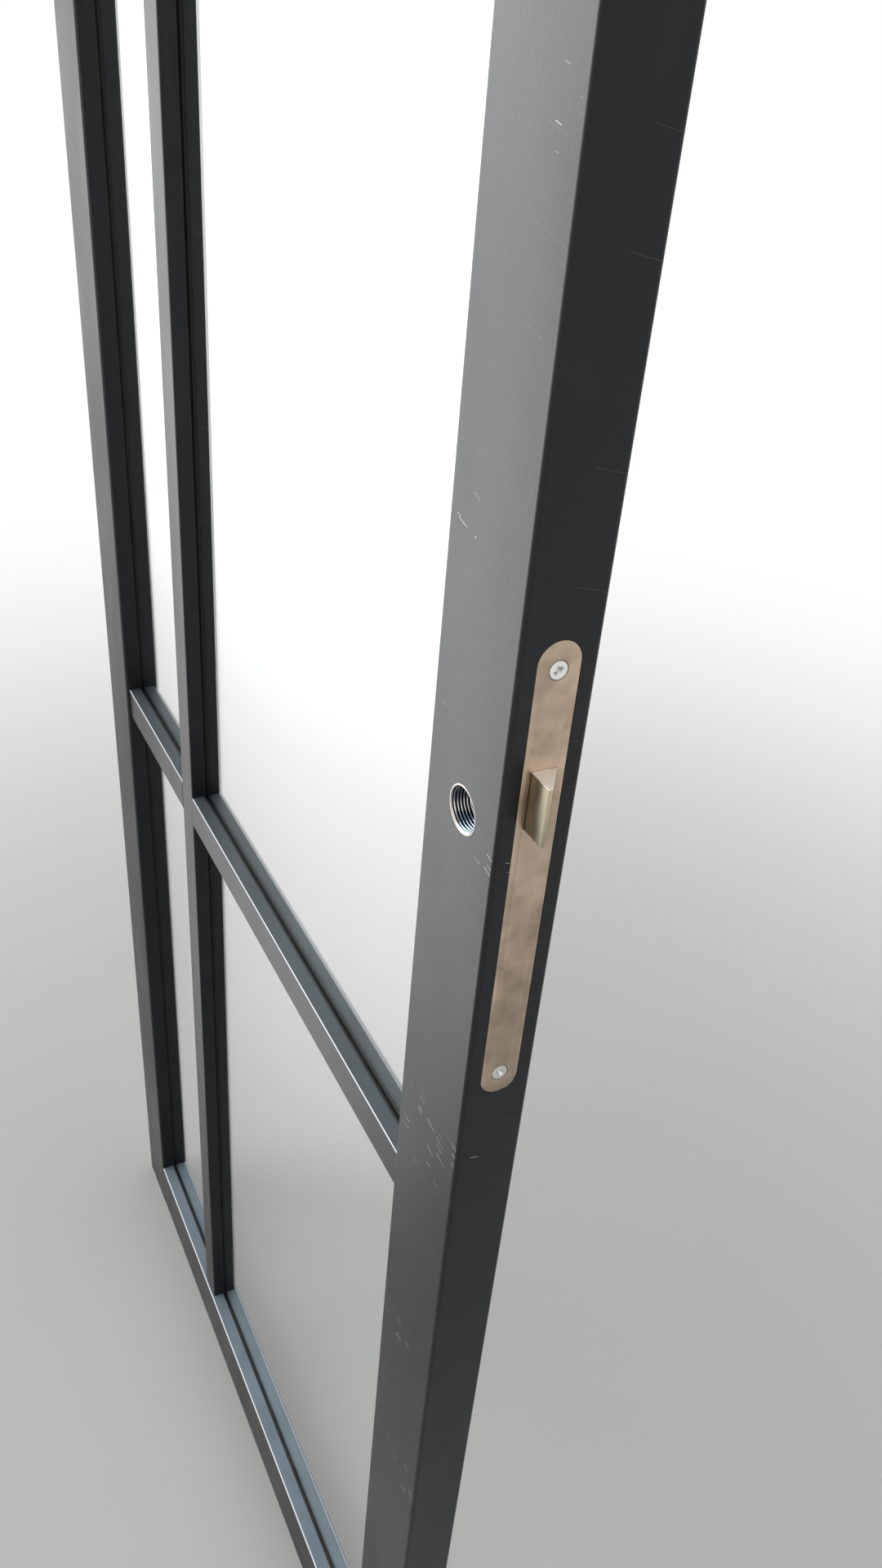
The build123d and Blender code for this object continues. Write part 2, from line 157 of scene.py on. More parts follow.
def maths(tree, operation, *values, clamp=False):
    """The result of a Math node."""
    inputs = dict(enumerate(values))
    return add(tree, "ShaderNodeMath", inputs, operation=operation, use_clamp=clamp).outputs[0]


def ranged(tree, value, low, high, new_low=0.0, new_high=1.0):
    """Map a value from one range to another, held at its ends."""
    inputs = {"Value": value, "From Min": low, "From Max": high, "To Min": new_low, "To Max": new_high}
    return add(tree, "ShaderNodeMapRange", inputs).outputs["Result"]


def place(tree, stretch=(1, 1, 1)):
    """The point on the piece, in metres in its own frame, stretched per axis."""
    point = add(tree, "ShaderNodeTexCoord").outputs["Object"]
    return add(tree, "ShaderNodeVectorMath", {0: point, 1: stretch}, operation="MULTIPLY").outputs[0]


def noise(tree, per_metre, stretch=(1, 1, 1), detail=2.0, offset=0.0):
    """Noise between 0 and 1 with so many waves per metre."""
    point = place(tree, [per_metre * share for share in stretch])
    shifted = add(tree, "ShaderNodeVectorMath", {0: point, 1: (offset,) * 3}, operation="ADD").outputs[0]
    inputs = {"Vector": shifted, "Scale": 1.0, "Detail": detail}
    return add(tree, "ShaderNodeTexNoise", inputs).outputs["Fac"]


def from_axis(tree, centre, across):
    """Distance from a line through a point; across is 1 on the axes square to the line, 0 along it."""
    point = add(tree, "ShaderNodeVectorMath", {0: place(tree), 1: centre}, operation="SUBTRACT").outputs[0]
    flat = add(tree, "ShaderNodeVectorMath", {0: point, 1: across}, operation="MULTIPLY").outputs[0]
    return add(tree, "ShaderNodeVectorMath", {0: flat}, operation="LENGTH").outputs["Value"]


def mixed(tree, share, first, second):
    """Mix two colours."""
    inputs = {"Factor": share, "A": first, "B": second}
    node = add(tree, "ShaderNodeMix", data_type="RGBA")
    colours = [socket for socket in node.inputs if socket.type == "RGBA"]
    targets = {"Factor": node.inputs["Factor"], "A": colours[0], "B": colours[1]}
    for key, value in inputs.items():
        if isinstance(value, bpy.types.NodeSocket):
            tree.links.new(value, targets[key])
        else:
            targets[key].default_value = value if key == "Factor" else (*value, 1.0)
    return next(socket for socket in node.outputs if socket.type == "RGBA")


def bumped(tree, height, distance, strength=1.0):
    """A normal bent by a height."""
    inputs = {"Height": height, "Distance": distance, "Strength": strength}
    return add(tree, "ShaderNodeBump", inputs).outputs[0]


def new_material(name, **plain):
    """A material whose Principled shader has the given plain values, with its node tree and shader."""
    material = bpy.data.materials.new(name)
    material.use_nodes = True
    tree = material.node_tree
    shader = tree.nodes["Principled BSDF"]
    for socket, value in plain.items():
        shader.inputs[socket.replace("_", " ")].default_value = value
    return material, tree, shader


def drive(tree, shader, colour=None, roughness=None, normal=None):
    """Link what varies over the surface to the shader."""
    for socket, value in (("Base Color", colour), ("Roughness", roughness), ("Normal", normal)):
        if value is not None:
            tree.links.new(value, shader.inputs[socket])


# Scratches, dusty film with a painted sky sheen, and a painted highlight line
def scratch_mask(tree, length, spacing, width, kept):
    """Short sloping dashes at random places: 1 on a dash, 0 elsewhere."""
    point = add(tree, "ShaderNodeSeparateXYZ", {0: place(tree)}).outputs
    along = maths(tree, "ADD", point["X"], point["Y"])
    across = maths(tree, "MULTIPLY_ADD", along, scratch_slope, point["Z"])
    cell = add(tree, "ShaderNodeCombineXYZ", {"X": maths(tree, "DIVIDE", along, length),
                                              "Y": maths(tree, "DIVIDE", across, spacing)}).outputs[0]
    spot = add(tree, "ShaderNodeTexVoronoi", {"Vector": cell, "Scale": 1.0}, voronoi_dimensions="2D")
    apart = add(tree, "ShaderNodeVectorMath", {0: cell, 1: spot.outputs["Position"]}, operation="SUBTRACT")
    off = add(tree, "ShaderNodeSeparateXYZ", {0: apart.outputs[0]}).outputs
    chance = add(tree, "ShaderNodeSeparateColor", {0: spot.outputs["Color"]}).outputs
    thin = ranged(tree, maths(tree, "ABSOLUTE", off["Y"]), 0.5 * width / spacing, width / spacing, 1.0, 0.0)
    reach = ranged(tree, chance[1], 0.0, 1.0, 0.06, 0.34)
    short = maths(tree, "LESS_THAN", maths(tree, "ABSOLUTE", off["X"]), reach)
    there = maths(tree, "LESS_THAN", chance[0], kept)
    return maths(tree, "MULTIPLY", maths(tree, "MULTIPLY", thin, short), there)


def near_scratched_places(tree):
    """1 in the middle of the scratched places, 0 away from them."""
    total = None
    for middle, radius in scratched_places:
        apart = add(tree, "ShaderNodeVectorMath", {0: place(tree), 1: middle}, operation="DISTANCE")
        here = ranged(tree, apart.outputs["Value"], 0.5 * radius, radius, 1.0, 0.0)
        total = here if total is None else maths(tree, "MAXIMUM", total, here)
    return total


def on_flat_faces(tree):
    """1 on the faces that look along X or Y, 0 on the rounded edges between them."""
    normal = add(tree, "ShaderNodeNewGeometry").outputs["Normal"]
    parts = add(tree, "ShaderNodeSeparateXYZ", {0: normal}).outputs
    most = maths(tree, "MAXIMUM", *(maths(tree, "ABSOLUTE", parts[axis]) for axis in "XY"))
    return maths(tree, "GREATER_THAN", most, 0.99)


def dust_and_painted_sky_sheen(tree, colour):
    """A pale bluish tone on the faces that look up, partly dusty film and partly a painted sky reflection,
    lighter lower down, and a painted highlight line on front top edges.
    """
    normal = add(tree, "ShaderNodeNewGeometry").outputs["Normal"]
    upward = add(tree, "ShaderNodeSeparateXYZ", {0: normal}).outputs["Z"]
    height = add(tree, "ShaderNodeSeparateXYZ", {0: place(tree)}).outputs["Z"]
    # Painted sky reflection, partly dusty film: lighter and bluer lower down, on faces that look up
    thin = ranged(tree, height, lighter_up_to, darker_from)
    sheen_and_dust = mixed(tree, thin, (0.19, 0.24, 0.285), (0.086, 0.107, 0.12))
    patchy = ranged(tree, noise(tree, 18, detail=3, offset=13), 0.3, 0.7, 0.75, 1.0)
    covered = maths(tree, "MULTIPLY", ranged(tree, upward, 0.75, 0.97), patchy)
    colour = mixed(tree, covered, colour, sheen_and_dust)
    # Painted highlight: a pale line on the front top edges, on normals near this facing
    toward = add(tree, "ShaderNodeVectorMath", {0: normal, 1: painted_highlight_facing}, operation="DOT_PRODUCT")
    line = ranged(tree, toward.outputs["Value"], 0.93, 0.985)
    return mixed(tree, line, colour, (0.86, 0.89, 0.92))


# Materials
def powder_coat():
    """Dark satin powder coat: fine orange peel, smears, dusty patches, a pale bluish tone on upward faces
    that is partly dusty film and partly painted sky reflection, a painted highlight line on front top edges,
    and bright scratches in a few places.
    """
    material, tree, shader = new_material("powder_coat_satin", IOR=1.5, Specular_IOR_Level=0.24)
    cloudy = noise(tree, 5, detail=3)
    dusty = ranged(tree, noise(tree, 26, detail=5, offset=7), 0.5, 0.8, 0.0, 0.3)
    colour = mixed(tree, cloudy, (0.009, 0.0102, 0.0118), (0.014, 0.0155, 0.0175))
    colour = mixed(tree, dusty, colour, (0.030, 0.030, 0.030))
    grain = ranged(tree, noise(tree, 2600, detail=1, offset=3), 0.3, 0.7, 0.0, 0.25)
    colour = mixed(tree, grain, colour, (0.023, 0.0245, 0.0265))
    # Pale bluish tone on upward faces, partly dusty film and partly painted sky reflection, and a painted
    # highlight line on front top edges
    colour = dust_and_painted_sky_sheen(tree, colour)
    near = near_scratched_places(tree)
    short = maths(tree, "MULTIPLY", scratch_mask(tree, 0.014, 0.0036, 0.00022, 0.38), near)
    hair = maths(tree, "MULTIPLY", scratch_mask(tree, 0.05, 0.013, 0.00016, 0.22), cloudy)
    marked = maths(tree, "MAXIMUM", short, maths(tree, "MULTIPLY", hair, 0.16))
    marked = maths(tree, "MULTIPLY", marked, on_flat_faces(tree))
    colour = mixed(tree, marked, colour, (0.72, 0.73, 0.74))
    smears = noise(tree, 14, stretch=(1, 1, 0.45), detail=4, offset=11)
    smeared = ranged(tree, smears, 0.35, 0.75, 0.31, 0.40)
    peel = noise(tree, 520, detail=1.5, offset=5)
    drive(tree, shader, colour, smeared, bumped(tree, peel, 0.00004))
    return material


def clear_glass():
    """Clear glass with a green cast in its depth and faint wiping marks."""
    material, tree, shader = new_material("clear_glass_wiped", IOR=1.52, Transmission_Weight=1.0)
    wiped = noise(tree, 9, stretch=(1, 1, 0.35), detail=4)
    colour = mixed(tree, wiped, (0.955, 0.985, 0.972), (0.965, 0.99, 0.98))
    streaks = ranged(tree, noise(tree, 30, stretch=(1, 1, 0.12), detail=3, offset=2), 0.5, 0.8, 0.0, 0.035)
    drive(tree, shader, colour, streaks)
    shadow = add(tree, "ShaderNodeLightPath").outputs["Is Shadow Ray"]
    clear = add(tree, "ShaderNodeBsdfTransparent", {"Color": (0.93, 0.95, 0.94, 1.0)})
    both = add(tree, "ShaderNodeMixShader", {0: shadow, 1: shader.outputs[0], 2: clear.outputs[0]})
    output = tree.nodes["Material Output"]
    tree.links.new(both.outputs[0], output.inputs["Surface"])
    return material


def rubber():
    """Black gasket rubber, with a slight film of grease along its length."""
    material, tree, shader = new_material("gasket_rubber", IOR=1.5)
    dull = noise(tree, 45, detail=3)
    colour = mixed(tree, dull, (0.008, 0.008, 0.008), (0.017, 0.017, 0.018))
    grain = noise(tree, 1800, detail=1)
    drive(tree, shader, colour, ranged(tree, dull, 0.3, 0.7, 0.5, 0.68), bumped(tree, grain, 0.00002))
    return material


def stainless():
    """Satin stainless sheet, brushed along its length, with cloudy handling marks and painted shade in a
    ring around each screw head.
    """
    material, tree, shader = new_material("stainless_satin", Metallic=1.0)
    cloud = noise(tree, 60, detail=4)
    patch = noise(tree, 16, stretch=(1, 1, 0.6), detail=2, offset=9)
    colour = mixed(tree, ranged(tree, cloud, 0.3, 0.7), (0.34, 0.255, 0.19), (0.66, 0.51, 0.39))
    colour = mixed(tree, ranged(tree, patch, 0.35, 0.65, 0.0, 0.6), colour, (0.43, 0.365, 0.28))
    screws_low, screws_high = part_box("faceplate_screws")
    head = screws_high.y
    # Painted shade: a dark ring around each screw head, where the gap round the countersink lies in shadow
    for height in (screws_high.z - head, screws_low.z + head):
        apart = from_axis(tree, (0, 0, height), (0, 1, 1))
        painted_gap_shade = ranged(tree, apart, head, head + screw_gap_shade, 0.85, 0.0)
        colour = mixed(tree, painted_gap_shade, colour, (0.10, 0.085, 0.07))
    brushed = noise(tree, 2600, stretch=(1, 1, 0.03), detail=2, offset=4)
    gloss = ranged(tree, maths(tree, "ADD", cloud, brushed), 0.7, 1.3, 0.34, 0.5)
    drive(tree, shader, colour, gloss, bumped(tree, brushed, 0.000012))
    return material


def nickel():
    """Nickel-plated latch head with an olive cast, a painted dark reflection on its flanks by the plate, and
    a painted highlight on its top.
    """
    material, tree, shader = new_material("nickel_olive", Metallic=1.0)
    cloud = noise(tree, 110, detail=3)
    colour = mixed(tree, cloud, (0.38, 0.33, 0.225), (0.55, 0.495, 0.36))
    _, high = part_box("latch_bolt")
    _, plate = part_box("faceplate")
    depth = add(tree, "ShaderNodeSeparateXYZ", {0: place(tree)}).outputs["X"]
    normal = add(tree, "ShaderNodeNewGeometry").outputs["Normal"]
    facing = add(tree, "ShaderNodeSeparateXYZ", {0: normal}).outputs
    # Painted reflection: the flanks darker towards the plate, as the dark hole would show in them
    painted_dark_by_plate = ranged(tree, depth, plate.x, high.x - 0.25 * (high.x - plate.x), 0.75, 0.0)
    painted_dark_by_plate = maths(tree, "MULTIPLY", painted_dark_by_plate, maths(tree, "ABSOLUTE", facing["Y"]))
    colour = mixed(tree, painted_dark_by_plate, colour, (0.17, 0.145, 0.105))
    # Painted highlight: faces that look up turn pale cream, and rougher
    painted_top_highlight = ranged(tree, facing["Z"], 0.25, 0.7, 0.0, 0.92)
    colour = mixed(tree, painted_top_highlight, colour, (0.95, 0.92, 0.84))
    rubbed = noise(tree, 1500, stretch=(0.05, 1, 1), detail=2, offset=6)
    gloss = ranged(tree, maths(tree, "ADD", cloud, rubbed), 0.7, 1.3, 0.3, 0.44)
    gloss = maths(tree, "MAXIMUM", gloss, maths(tree, "MULTIPLY", painted_top_highlight, 0.62))
    drive(tree, shader, colour, gloss, bumped(tree, rubbed, 0.000002))
    return material


def zinc():
    """Bright zinc plating on screws, with a faint white bloom."""
    material, tree, shader = new_material("zinc_bright", Metallic=1.0)
    bloom = noise(tree, 900, detail=3)
    colour = mixed(tree, bloom, (0.62, 0.63, 0.60), (0.86, 0.87, 0.84))
    drive(tree, shader, colour, ranged(tree, bloom, 0.3, 0.7, 0.18, 0.36), bumped(tree, bloom, 0.00001))
    return material


def bush_marks_and_painted_light(tree, colour):
    """Painted light on a bush: a painted highlight on the lower part of its rim, a painted dim reflection in
    the upper bore, a painted blue reflection in the lower bore and painted shade in its thread's roots; and
    a darker tone on its end faces.
    """
    low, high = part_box("bush_front")
    middle = (low + high) / 2
    crest = (high.x - low.x) / 2 - bush_wall
    root = crest + thread_depth
    radius = from_axis(tree, middle, (1, 0, 1))
    point = add(tree, "ShaderNodeSeparateXYZ", {0: place(tree)}).outputs
    depth = maths(tree, "SUBTRACT", -low.y, maths(tree, "ABSOLUTE", point["Y"]))
    mouth = root + 1.2 * bush_mouth_chamfer
    past_mouth = maths(tree, "GREATER_THAN", maths(tree, "ADD", radius, depth), mouth)
    in_thread = maths(tree, "LESS_THAN", radius, 1.01 * root)
    inside = maths(tree, "MULTIPLY", past_mouth, in_thread)
    # Painted highlight: the rim pale cream at the bottom, fading to grey at the middle height
    rim_highlight_fade = ranged(tree, point["Z"], low.z + bush_wall, middle.z)
    rim = mixed(tree, rim_highlight_fade, (0.80, 0.74, 0.60), (0.33, 0.32, 0.33))
    colour = mixed(tree, maths(tree, "SUBTRACT", 1.0, inside), colour, rim)
    # Painted reflection: the bore dim and bluish from about the middle height up
    painted_dim_upper_bore = ranged(tree, point["Z"], middle.z - 2 * thread_pitch, middle.z - 0.5 * thread_pitch, 0.0, 0.85)
    colour = mixed(tree, maths(tree, "MULTIPLY", painted_dim_upper_bore, inside), colour, (0.10, 0.12, 0.155))
    # Painted reflection: the lowest part of the bore blue
    painted_blue_lower_bore = ranged(tree, point["Z"], middle.z - 0.85 * crest, middle.z - 0.5 * crest, 0.92, 0.0)
    colour = mixed(tree, maths(tree, "MULTIPLY", painted_blue_lower_bore, inside), colour, (0.12, 0.20, 0.28))
    # Painted shade in the thread's roots
    painted_root_shade = ranged(tree, radius, crest + 0.35 * thread_depth, crest + 0.6 * thread_depth)
    colour = mixed(tree, maths(tree, "MULTIPLY", painted_root_shade, inside), colour, (0.02, 0.02, 0.024))
    normal = add(tree, "ShaderNodeNewGeometry").outputs["Normal"]
    outward = maths(tree, "ABSOLUTE", add(tree, "ShaderNodeSeparateXYZ", {0: normal}).outputs["Y"])
    return mixed(tree, ranged(tree, outward, 0.9, 0.98), colour, (0.22, 0.19, 0.175))


def chrome():
    """Bright turned chrome, with a painted highlight on the rim, painted reflections and shade in the bore,
    and darker end faces.
    """
    material, tree, shader = new_material("chrome_turned", Metallic=1.0)
    film = noise(tree, 300, detail=3)
    colour = bush_marks_and_painted_light(tree, mixed(tree, film, (0.62, 0.605, 0.59), (0.78, 0.77, 0.76)))
    turned = noise(tree, 6000, stretch=(0.05, 1, 0.05), detail=1)
    drive(tree, shader, colour, ranged(tree, film, 0.3, 0.7, 0.05, 0.14), bumped(tree, turned, 0.000004))
    return material


def case_steel():
    """Zinc-plated sheet steel, slightly spangled."""
    material, tree, shader = new_material("case_sheet_steel", Metallic=1.0)
    spangle = noise(tree, 240, detail=2)
    fine = noise(tree, 1500, detail=2, offset=8)
    colour = mixed(tree, spangle, (0.40, 0.41, 0.41), (0.58, 0.59, 0.58))
    drive(tree, shader, colour, ranged(tree, spangle, 0.3, 0.7, 0.32, 0.5), bumped(tree, fine, 0.00001))
    return material


def spring_steel():
    """Blued spring strip with rolling marks."""
    material, tree, shader = new_material("spring_strip_steel", Metallic=1.0)
    tint = noise(tree, 160, detail=2)
    rolled = noise(tree, 2500, stretch=(1, 0.05, 1), detail=1)
    colour = mixed(tree, tint, (0.16, 0.17, 0.20), (0.30, 0.29, 0.28))
    drive(tree, shader, colour, ranged(tree, tint, 0.3, 0.7, 0.25, 0.4), bumped(tree, rolled, 0.000006))
    return material


def cast_metal():
    """Die-cast spigots: grey, faintly pitted."""
    material, tree, shader = new_material("spigot_cast_metal", Metallic=1.0)
    skin = noise(tree, 380, detail=4)
    colour = mixed(tree, skin, (0.32, 0.32, 0.33), (0.47, 0.47, 0.46))
    drive(tree, shader, colour, ranged(tree, skin, 0.3, 0.7, 0.45, 0.65), bumped(tree, skin, 0.00006))
    return material


def plastic():
    """Black moulded plastic with a fine spark-eroded grain."""
    material, tree, shader = new_material("moulded_black_plastic", IOR=1.49)
    tone = noise(tree, 30, detail=2)
    grain = noise(tree, 1500, detail=2, offset=5)
    colour = mixed(tree, tone, (0.010, 0.010, 0.011), (0.018, 0.018, 0.019))
    drive(tree, shader, colour, ranged(tree, grain, 0.3, 0.7, 0.45, 0.6), bumped(tree, grain, 0.00003))
    return material


materials = {
    "powder_coat": powder_coat(),
    "clear_glass": clear_glass(),
    "black_gasket": rubber(),
    "stainless_plate": stainless(),
    "nickel_latch": nickel(),
    "zinc_screws": zinc(),
    "chrome_bush": chrome(),
    "case_steel": case_steel(),
    "spring_steel": spring_steel(),
    "cast_spigot": cast_metal(),
    "black_plastic": plastic(),
}
for node in nodes.values():
    for holder in node.material_slots:
        holder.material = materials[holder.material.name]


# Pieces with softened edges
def softened(node_name, new_name, edge):
    """A copy of a node's mesh with flat faces merged and its sharp edges rounded."""
    mesh = nodes[node_name].data.copy()
    work = bmesh.new()
    work.from_mesh(mesh)
    bmesh.ops.remove_doubles(work, verts=work.verts, dist=weld_distance)
    bmesh.ops.dissolve_limit(work, angle_limit=flat_angle, verts=work.verts, edges=work.edges)
    sharp = [e for e in work.edges if len(e.link_faces) == 2 and e.calc_face_angle() > edge_angle]
    bmesh.ops.bevel(work, geom=sharp, offset=edge, offset_type="OFFSET", segments=edge_segments, profile=0.5,
                    affect="EDGES", clamp_overlap=True)
    for face in work.faces:
        face.smooth = True
    rounded = bpy.data.meshes.new(new_name)
    work.to_mesh(rounded)
    work.free()
    bpy.data.meshes.remove(mesh)
    rounded.set_sharp_from_angle(angle=edge_angle)
    return link_object(new_name, rounded)


# Threaded bushes
def thread_height(phase):
    """Height of a rounded thread at a share of its pitch: 0 in the root, 1 on the crest."""
    return (1 - math.cos(2 * math.pi * phase)) / 2


def turned_rows(work, rows, segments, frame_matrix):
    """Rings of vertices: each row is a function of the turn, from 0 to 1, to radius and depth."""
    rings = []
    for row in rows:
        ring = []
        for step in range(segments):
            share = step / segments
            radius, depth = row(share)
            angle = 2 * math.pi * share
            local = Vector((radius * math.cos(angle), radius * math.sin(angle), depth))
            ring.append(work.verts.new(frame_matrix @ local))
        rings.append(ring)
    return rings


def skin_rings(work, rings, closed):
    """Quads between neighbouring rings, and from the last back to the first where closed."""
    pairs = list(zip(rings, rings[1:])) + ([(rings[-1], rings[0])] if closed else [])
    for lower, upper in pairs:
        for step in range(len(lower)):
            after = (step + 1) % len(lower)
            work.faces.new((lower[step], lower[after], upper[after], upper[step]))


def threaded_bush(node_name, new_name, side):
    """A chrome bush with a female thread, in the place of its plain sleeve. side is -1 at the front."""
    low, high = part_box(node_name)
    middle = (low + high) / 2
    outer = (high.x - low.x) / 2
    mouth = low.y if side < 0 else high.y
    length = high.y - low.y
    crest = outer - bush_wall

    def thread(depth):
        """The bore's radius at a depth, with the mouth's chamfer."""
        def radius(share):
            phase = (depth / thread_pitch + share) % 1.0
            cut = crest + thread_depth * (1 - thread_height(phase))
            mouth_radius = crest + thread_depth + bush_mouth_chamfer - depth
            return (max(cut, mouth_radius), depth)
        return radius

    def plain(radius, depth):
        """A round ring."""
        return lambda share: (radius, depth)

    count = int(length / thread_pitch * thread_rows_per_turn)
    rows = [thread(length * step / count) for step in range(count + 1)]
    rows += [plain(outer - bush_back_round, length), plain(outer, length - bush_back_round)]
    rows += [plain(outer - bush_rim_round * (1 - math.cos(turn)), bush_rim_round * (1 - math.sin(turn)))
             for turn in (0, math.pi / 8, math.pi / 4, 3 * math.pi / 8, math.pi / 2)]
    inward = Matrix.Rotation(side * math.pi / 2, 4, "X")
    set_in = Matrix.Translation((middle.x, mouth, middle.z)) @ inward
    work = bmesh.new()
    skin_rings(work, turned_rows(work, rows, bush_segments, set_in), closed=True)
    bmesh.ops.recalc_face_normals(work, faces=work.faces)
    for face in work.faces:
        face.smooth = True
    mesh = bpy.data.meshes.new(new_name)
    work.to_mesh(mesh)
    work.free()
    mesh.set_sharp_from_angle(angle=edge_angle)
    return link_object(new_name, mesh)


# Faceplate screws
def recess_cutter(head_face):
    """A tapered cross that cuts the driver recess, with its mouth just above the head."""
    work = bmesh.new()
    for quarter in (0, 1):
        turn = Matrix.Rotation(quarter * math.pi / 2, 4, "X")
        rims = []
        for depth, share in ((recess_overshoot, 1.0), (-recess_depth, recess_floor_share)):
            corners = [(-1, -1), (1, -1), (1, 1), (-1, 1)]
            rims.append([work.verts.new(head_face @ turn @ Vector(
                (depth, a * recess_reach * share, b * recess_arm * share))) for a, b in corners])
        work.faces.new(rims[0])
        work.faces.new(rims[1][::-1])
        for corner in range(4):
            after = (corner + 1) % 4
            work.faces.new((rims[0][corner], rims[0][after], rims[1][after], rims[1][corner]))
    bmesh.ops.recalc_face_normals(work, faces=work.faces)
    mesh = bpy.data.meshes.new("recess_cutter")
    work.to_mesh(mesh)
    work.free()
    return link_object("recess_cutter", mesh)


def cross_head_screw(name, face_x, height, head_radius, length):
    """A countersunk cross-head screw that points inward from the lock edge, with its thread."""
    cone_end = head_radius - shank_radius

    def body(depth):
        """The screw's radius at a depth under its head's face."""
        def radius(share):
            if depth <= cone_end:
                return (head_radius - depth, -depth)
            phase = (depth / screw_thread_pitch + share) % 1.0
            cut = screw_thread_depth * (1 - thread_height(phase))
            tip = max(0.0, depth - (length - screw_tip_length))
            return (shank_radius - cut - screw_tip_slope * tip, -depth)
        return radius

    start = [lambda share: (head_radius - screw_head_round, 0.0)]
    start += [lambda share: (head_radius, -screw_head_round)]
    count = int((length - cone_end) / screw_thread_pitch * screw_rows_per_turn)
    depths = [cone_end + (length - cone_end) * step / count for step in range(count + 1)]
    rows = start + [body(depth) for depth in depths]
    head_face = Matrix.Translation((face_x, 0, height))
    along = Matrix.Rotation(math.pi / 2, 4, "Y")
    work = bmesh.new()
    rings = turned_rows(work, rows, screw_segments, head_face @ along)
    skin_rings(work, rings, closed=False)
    work.faces.new(rings[0])
    work.faces.new(rings[-1][::-1])
    bmesh.ops.recalc_face_normals(work, faces=work.faces)
    for face in work.faces:
        face.smooth = True
    mesh = bpy.data.meshes.new(name)
    work.to_mesh(mesh)
    work.free()
    screw = link_object(name, mesh)
    cutter = recess_cutter(head_face @ Matrix.Rotation(recess_turn, 4, "X"))
    cut = screw.modifiers.new("recess", "BOOLEAN")
    cut.object = cutter
    cut.solver = "EXACT"
    cut.use_self = True
    result = bpy.data.meshes.new_from_object(screw.evaluated_get(bpy.context.evaluated_depsgraph_get()))
    screw.modifiers.clear()
    screw.data = result
    result.name = name
    result.set_sharp_from_angle(angle=edge_angle)
    bpy.data.objects.remove(cutter)
    return screw


# Pieces of the lock that take the place of plain solids
def dress_lock():
    """Put the finished faceplate, latch, bushes and screws into the scene."""
    finish_piece(softened("faceplate", "faceplate_finished", plate_edge), "leaf", "faceplate",
                 materials["stainless_plate"])
    finish_piece(softened("latch_bolt", "latch_finished", latch_edge), "latch", "latch_bolt",
                 materials["nickel_latch"])
    for side, where in ((-1, "front"), (1, "back")):
        finish_piece(threaded_bush(f"bush_{where}", f"threaded_bush_{where}", side), "leaf", f"bush_{where}",
                     materials["chrome_bush"])
    low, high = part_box("faceplate_screws")
    head_radius = high.y
    for height, where in ((high.z - head_radius, "upper"), (low.z + head_radius, "lower")):
        screw = cross_head_screw(f"faceplate_screw_{where}", high.x, height, head_radius, high.x - low.x)
        finish_piece(screw, "leaf", "faceplate_screws", materials["zinc_screws"])


dress_lock()


# Floor, light and camera
def background_share(tree):
    """1 for rays that show the background: from the camera, or seen in metal or glass."""
    path = add(tree, "ShaderNodeLightPath").outputs
    seen = maths(tree, "ADD", path["Is Camera Ray"], path["Is Glossy Ray"])
    return maths(tree, "ADD", seen, path["Is Transmission Ray"], clamp=True)


def floor():
    """A plain pale floor that turns into the white background far away."""
    material = bpy.data.materials.new("floor_pale")
    material.use_nodes = True
    tree = material.node_tree
    shader = tree.nodes["Principled BSDF"]
    shader.inputs["Base Color"].default_value = (0.60, 0.59, 0.575, 1.0)
    shader.inputs["Roughness"].default_value = 0.9
    shader.inputs["Specular IOR Level"].default_value = 0.1
    white = add(tree, "ShaderNodeEmission", {"Color": (1, 1, 1, 1), "Strength": 1.0})
    away = add(tree, "ShaderNodeVectorMath", {0: place(tree)}, operation="LENGTH").outputs["Value"]
    inputs = {"Value": away, "From Min": floor_near, "From Max": floor_far}
    smooth = add(tree, "ShaderNodeMapRange", inputs, interpolation_type="SMOOTHERSTEP").outputs["Result"]
    far = maths(tree, "MULTIPLY", smooth, background_share(tree))
    both = add(tree, "ShaderNodeMixShader", {0: far, 1: shader.outputs[0], 2: white.outputs[0]})
    tree.links.new(both.outputs[0], tree.nodes["Material Output"].inputs["Surface"])
    mesh = bpy.data.meshes.new("floor")
    half = floor_size / 2
    corners = [(-half, -half, 0), (half, -half, 0), (half, half, 0), (-half, half, 0)]
    mesh.from_pydata(corners, [], [(0, 1, 2, 3)])
    plane = link_object("floor", mesh)
    mesh.materials.append(material)


def world():
    """White where it is seen, and softer as light on rough surfaces."""
    sky = bpy.data.worlds.new("studio")
    sky.use_nodes = True
    tree = sky.node_tree
    soft = tree.nodes["Background"]
    soft.inputs["Color"].default_value = (0.93, 0.96, 1.0, 1.0)
    soft.inputs["Strength"].default_value = 0.6
    white = add(tree, "ShaderNodeBackground", {"Color": (1, 1, 1, 1), "Strength": 1.0})
    shaders = {0: background_share(tree), 1: soft.outputs[0], 2: white.outputs[0]}
    both = add(tree, "ShaderNodeMixShader", shaders)
    tree.links.new(both.outputs[0], tree.nodes["World Output"].inputs["Surface"])
    bpy.context.scene.world = sky


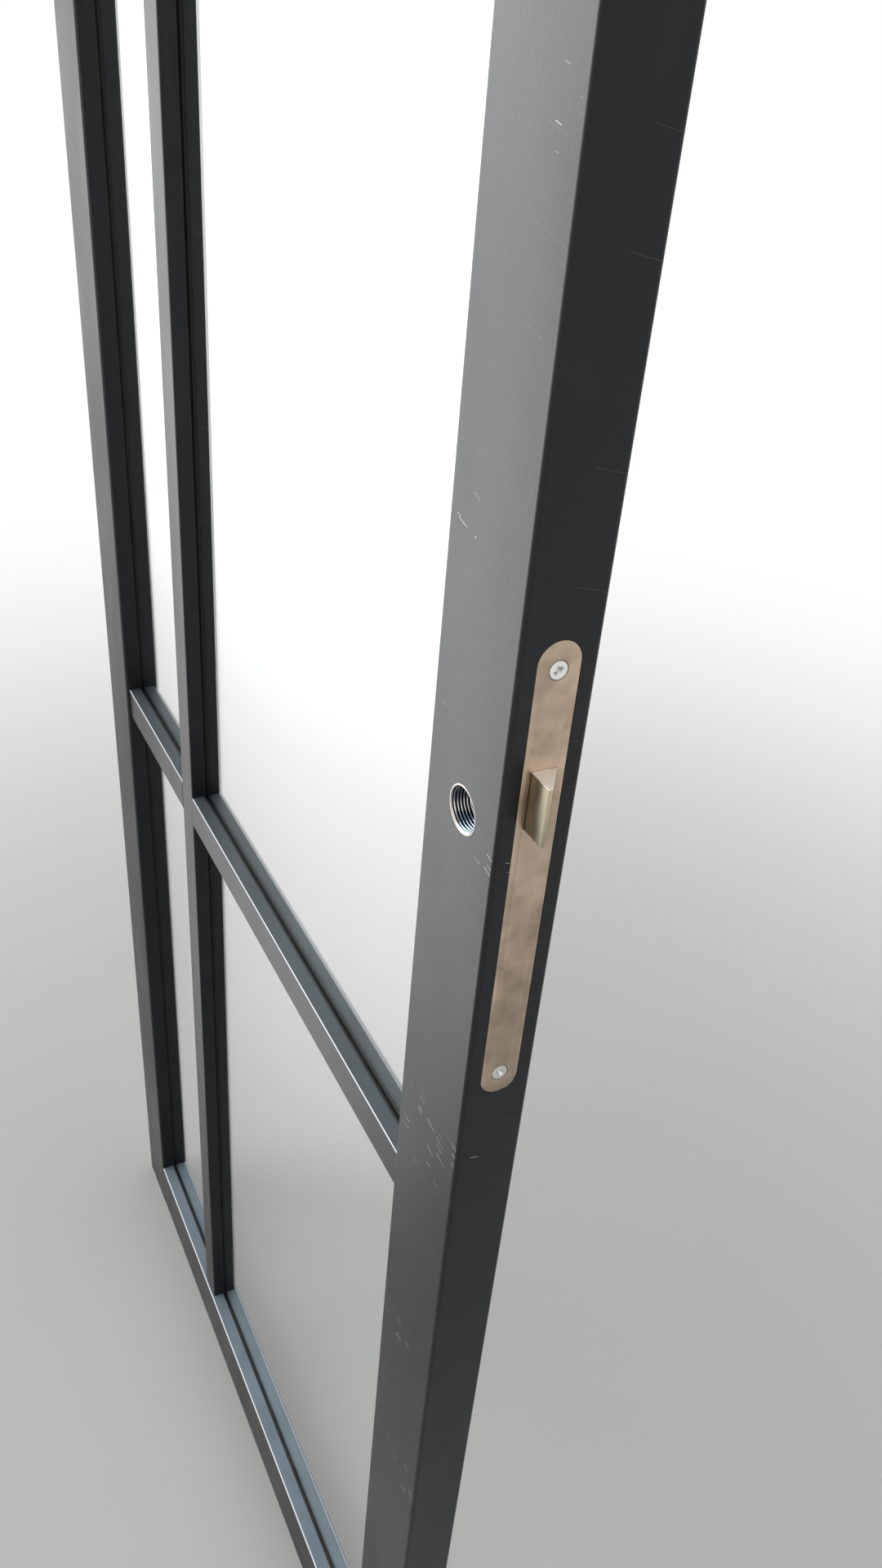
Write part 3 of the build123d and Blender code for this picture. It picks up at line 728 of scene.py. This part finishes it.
def fade_to_edges(lamp, brightest):
    """Let a lamp's strength fall evenly from its brightest point to nothing at its edges."""
    lamp.use_nodes = True
    tree = lamp.node_tree
    spot = add(tree, "ShaderNodeNewGeometry").outputs["Parametric"]
    parts = add(tree, "ShaderNodeSeparateXYZ", {0: spot}).outputs
    shares = []
    for axis, peak in zip("XY", brightest):
        rising = maths(tree, "DIVIDE", parts[axis], peak)
        falling = maths(tree, "DIVIDE", maths(tree, "SUBTRACT", 1.0, parts[axis]), 1 - peak)
        shares.append(maths(tree, "MINIMUM", rising, falling, clamp=True))
    tree.links.new(maths(tree, "MULTIPLY", *shares), tree.nodes["Emission"].inputs["Strength"])


def panel(name, position, target, size, power, colour, brightest=None):
    """A soft lamp that faces a point. With a brightest point it has no edge and lights reflections only."""
    lamp = bpy.data.lights.new(name, "AREA")
    lamp.shape = "RECTANGLE"
    lamp.size, lamp.size_y = size
    lamp.energy = power
    lamp.color = colour
    if brightest:
        fade_to_edges(lamp, brightest)
    piece = bpy.data.objects.new(name, lamp)
    bpy.context.scene.collection.objects.link(piece)
    direction = Vector(target) - Vector(position)
    piece.location = position
    piece.rotation_euler = direction.to_track_quat("-Z", "Y").to_euler()
    piece.visible_camera = False
    piece.visible_transmission = False
    piece.visible_diffuse = not brightest


def camera():
    """The photograph's view: from the lock edge, a little in front, looking down."""
    eye = bpy.data.cameras.new("camera")
    eye.lens = camera_lens
    eye.shift_x, eye.shift_y = camera_shift
    eye.clip_start = 0.01
    eye.clip_end = 500.0
    piece = bpy.data.objects.new("camera", eye)
    bpy.context.scene.collection.objects.link(piece)
    turn = Matrix.Rotation(camera_heading, 4, "Z")
    turn @= Matrix.Rotation(math.pi / 2 - camera_down, 4, "X")
    turn @= Matrix.Rotation(camera_roll, 4, "Z")
    piece.matrix_world = Matrix.Translation(camera_place) @ turn
    bpy.context.scene.camera = piece


floor()
world()
panel("key_panel", (-2.4, -3.0, 3.4), (0, 0, 0.9), (3.8, 3.8), 125, warm_white)
panel("stile_panel", (-0.154, -0.33, 1.05), (0.36, 0, 1.05), (0.7, 2.1), 31, cool_white, (0.5, 0.72))
panel("bar_panel", (-2.1, -0.6, 1.15), (-0.16, 0, 1.15), (1.6, 2.3), 15, cool_white, (0.5, 0.5))
camera()
bpy.context.scene.view_settings.view_transform = "Standard"
